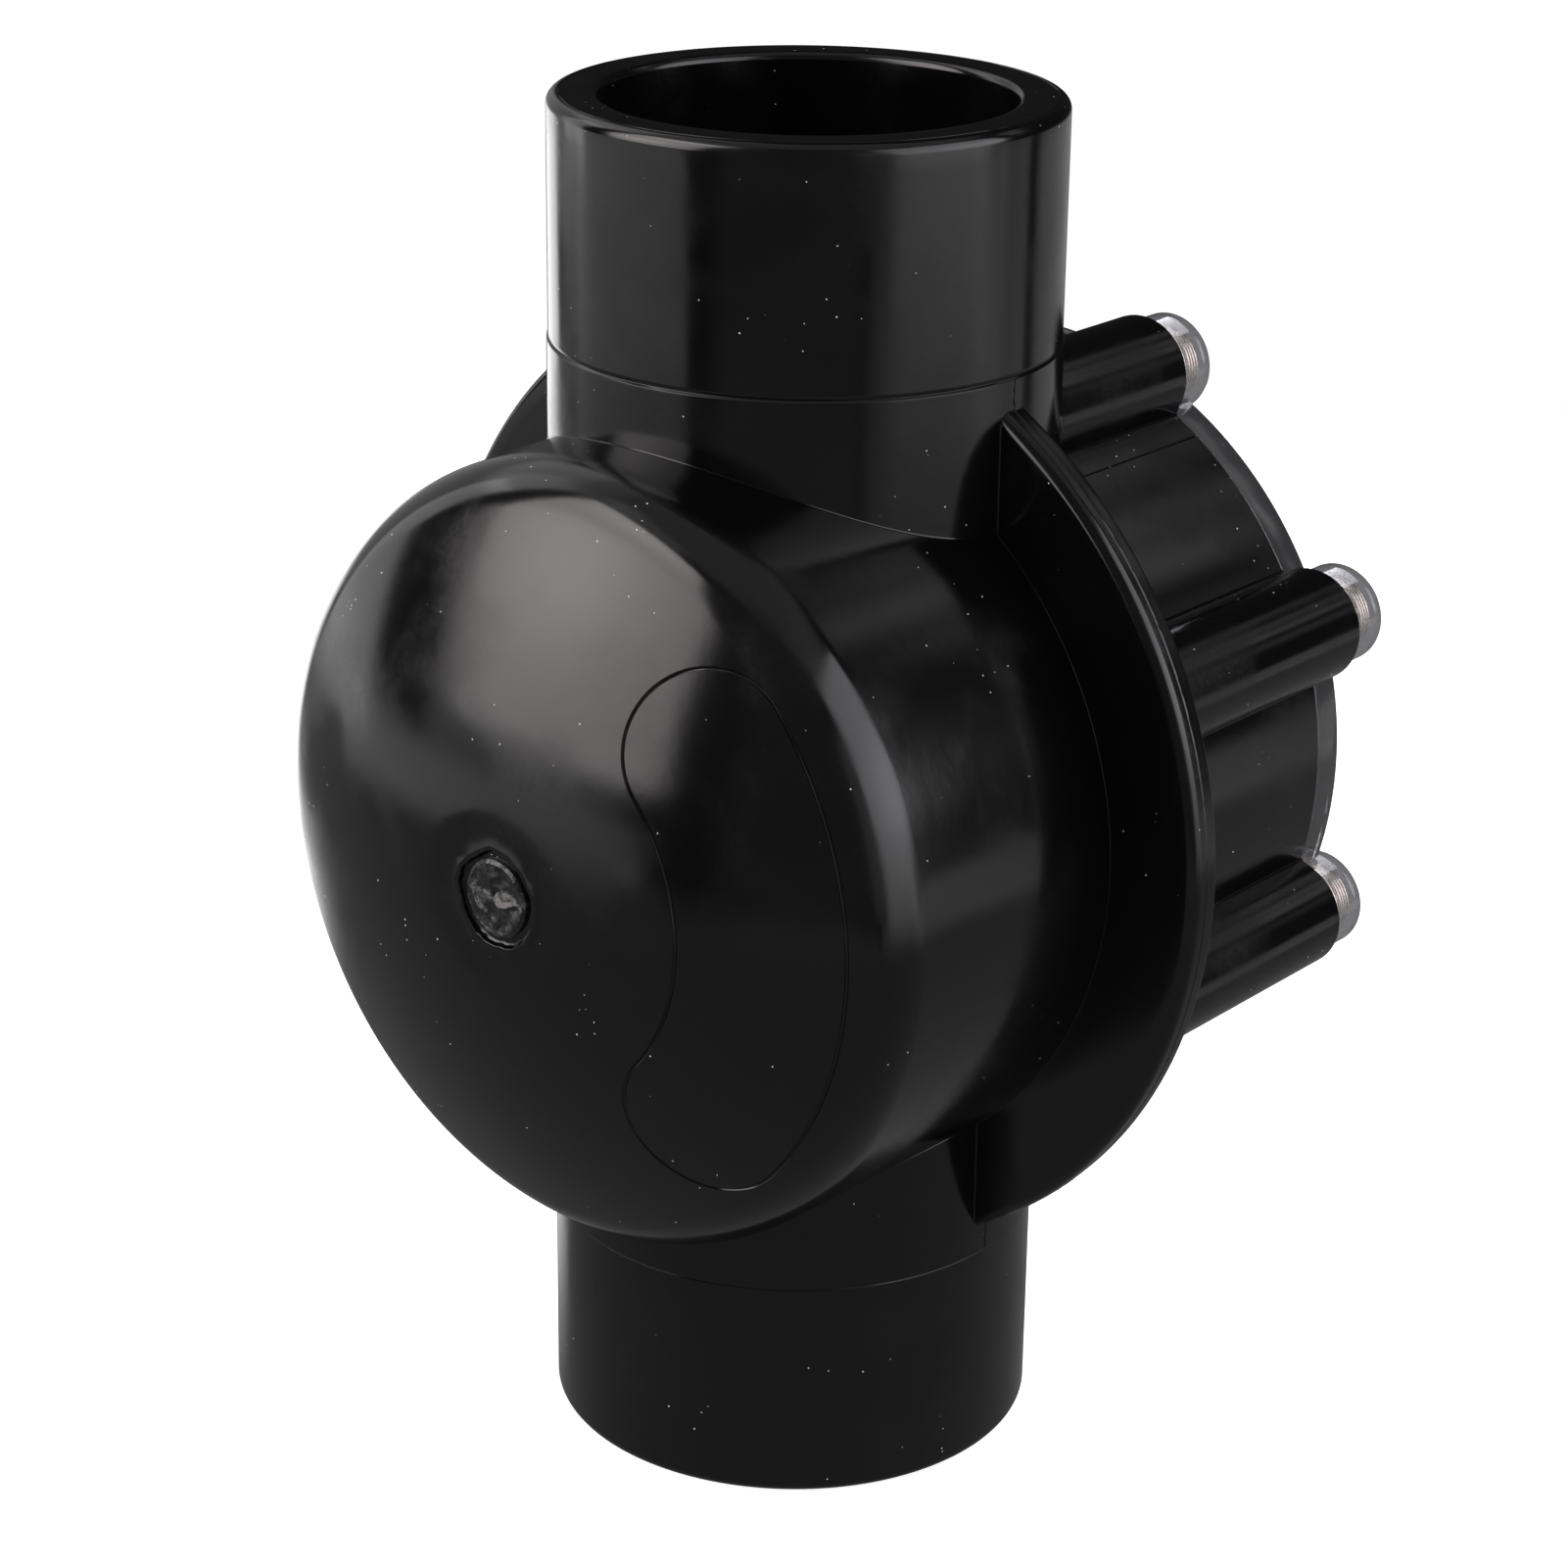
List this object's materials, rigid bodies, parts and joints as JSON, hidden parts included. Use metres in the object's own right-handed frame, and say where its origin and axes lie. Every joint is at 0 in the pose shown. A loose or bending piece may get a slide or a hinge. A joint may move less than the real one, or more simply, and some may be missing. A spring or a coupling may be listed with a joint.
{
  "type": "non-return valve",
  "caption": "In-line non-return valve: black moulded drum body with two socket ports, domed back, clear screwed cover and a spring-loaded flapper on a slanted seat.",
  "frame": {"origin": "centre of the bounding box's bottom face, on the surface that the inlet end stands on", "axes": "+Z along the flow, from the inlet socket to the outlet socket; -Y out of the clear cover; +Y out of the domed back"},
  "size_m": [0.1196, 0.1022, 0.167],
  "materials": {
    "black_plastic": "smooth moulded black, satin gloss",
    "clear_plastic": "clear moulded polycarbonate",
    "grey_plastic": "moulded grey",
    "rubber": "matte black rubber",
    "steel": "stainless steel"
  },
  "bodies": {
    "valve_body": {"body": "black_plastic", "cover": "clear_plastic", "cover_o_ring": "rubber", "cover_screw_1": "steel", "cover_screw_2": "steel", "cover_screw_3": "steel", "cover_screw_4": "steel", "cover_screw_5": "steel", "cover_screw_6": "steel", "cover_screw_7": "steel", "cover_screw_8": "steel", "cover_washer_1": "steel", "cover_washer_2": "steel", "cover_washer_3": "steel", "cover_washer_4": "steel", "cover_washer_5": "steel", "cover_washer_6": "steel", "cover_washer_7": "steel", "cover_washer_8": "steel", "hinge_pin": "steel", "hinge_spring": "steel"},
    "door": {"flapper": "grey_plastic", "flapper_seal": "rubber", "seal_retainer": "steel", "retainer_screw": "steel"}
  },
  "joints": [
    {"name": "door_hinge", "type": "hinge", "parent": "valve_body", "child": "door", "pos_m": [-0.02475, -0.0028, 0.05729], "axis": [0, -1, 0], "range_deg": [0, 42], "stiffness_Nm_per_rad": 0.03, "springref_deg": -35, "deforming": ["hinge_spring"]}
  ]
}
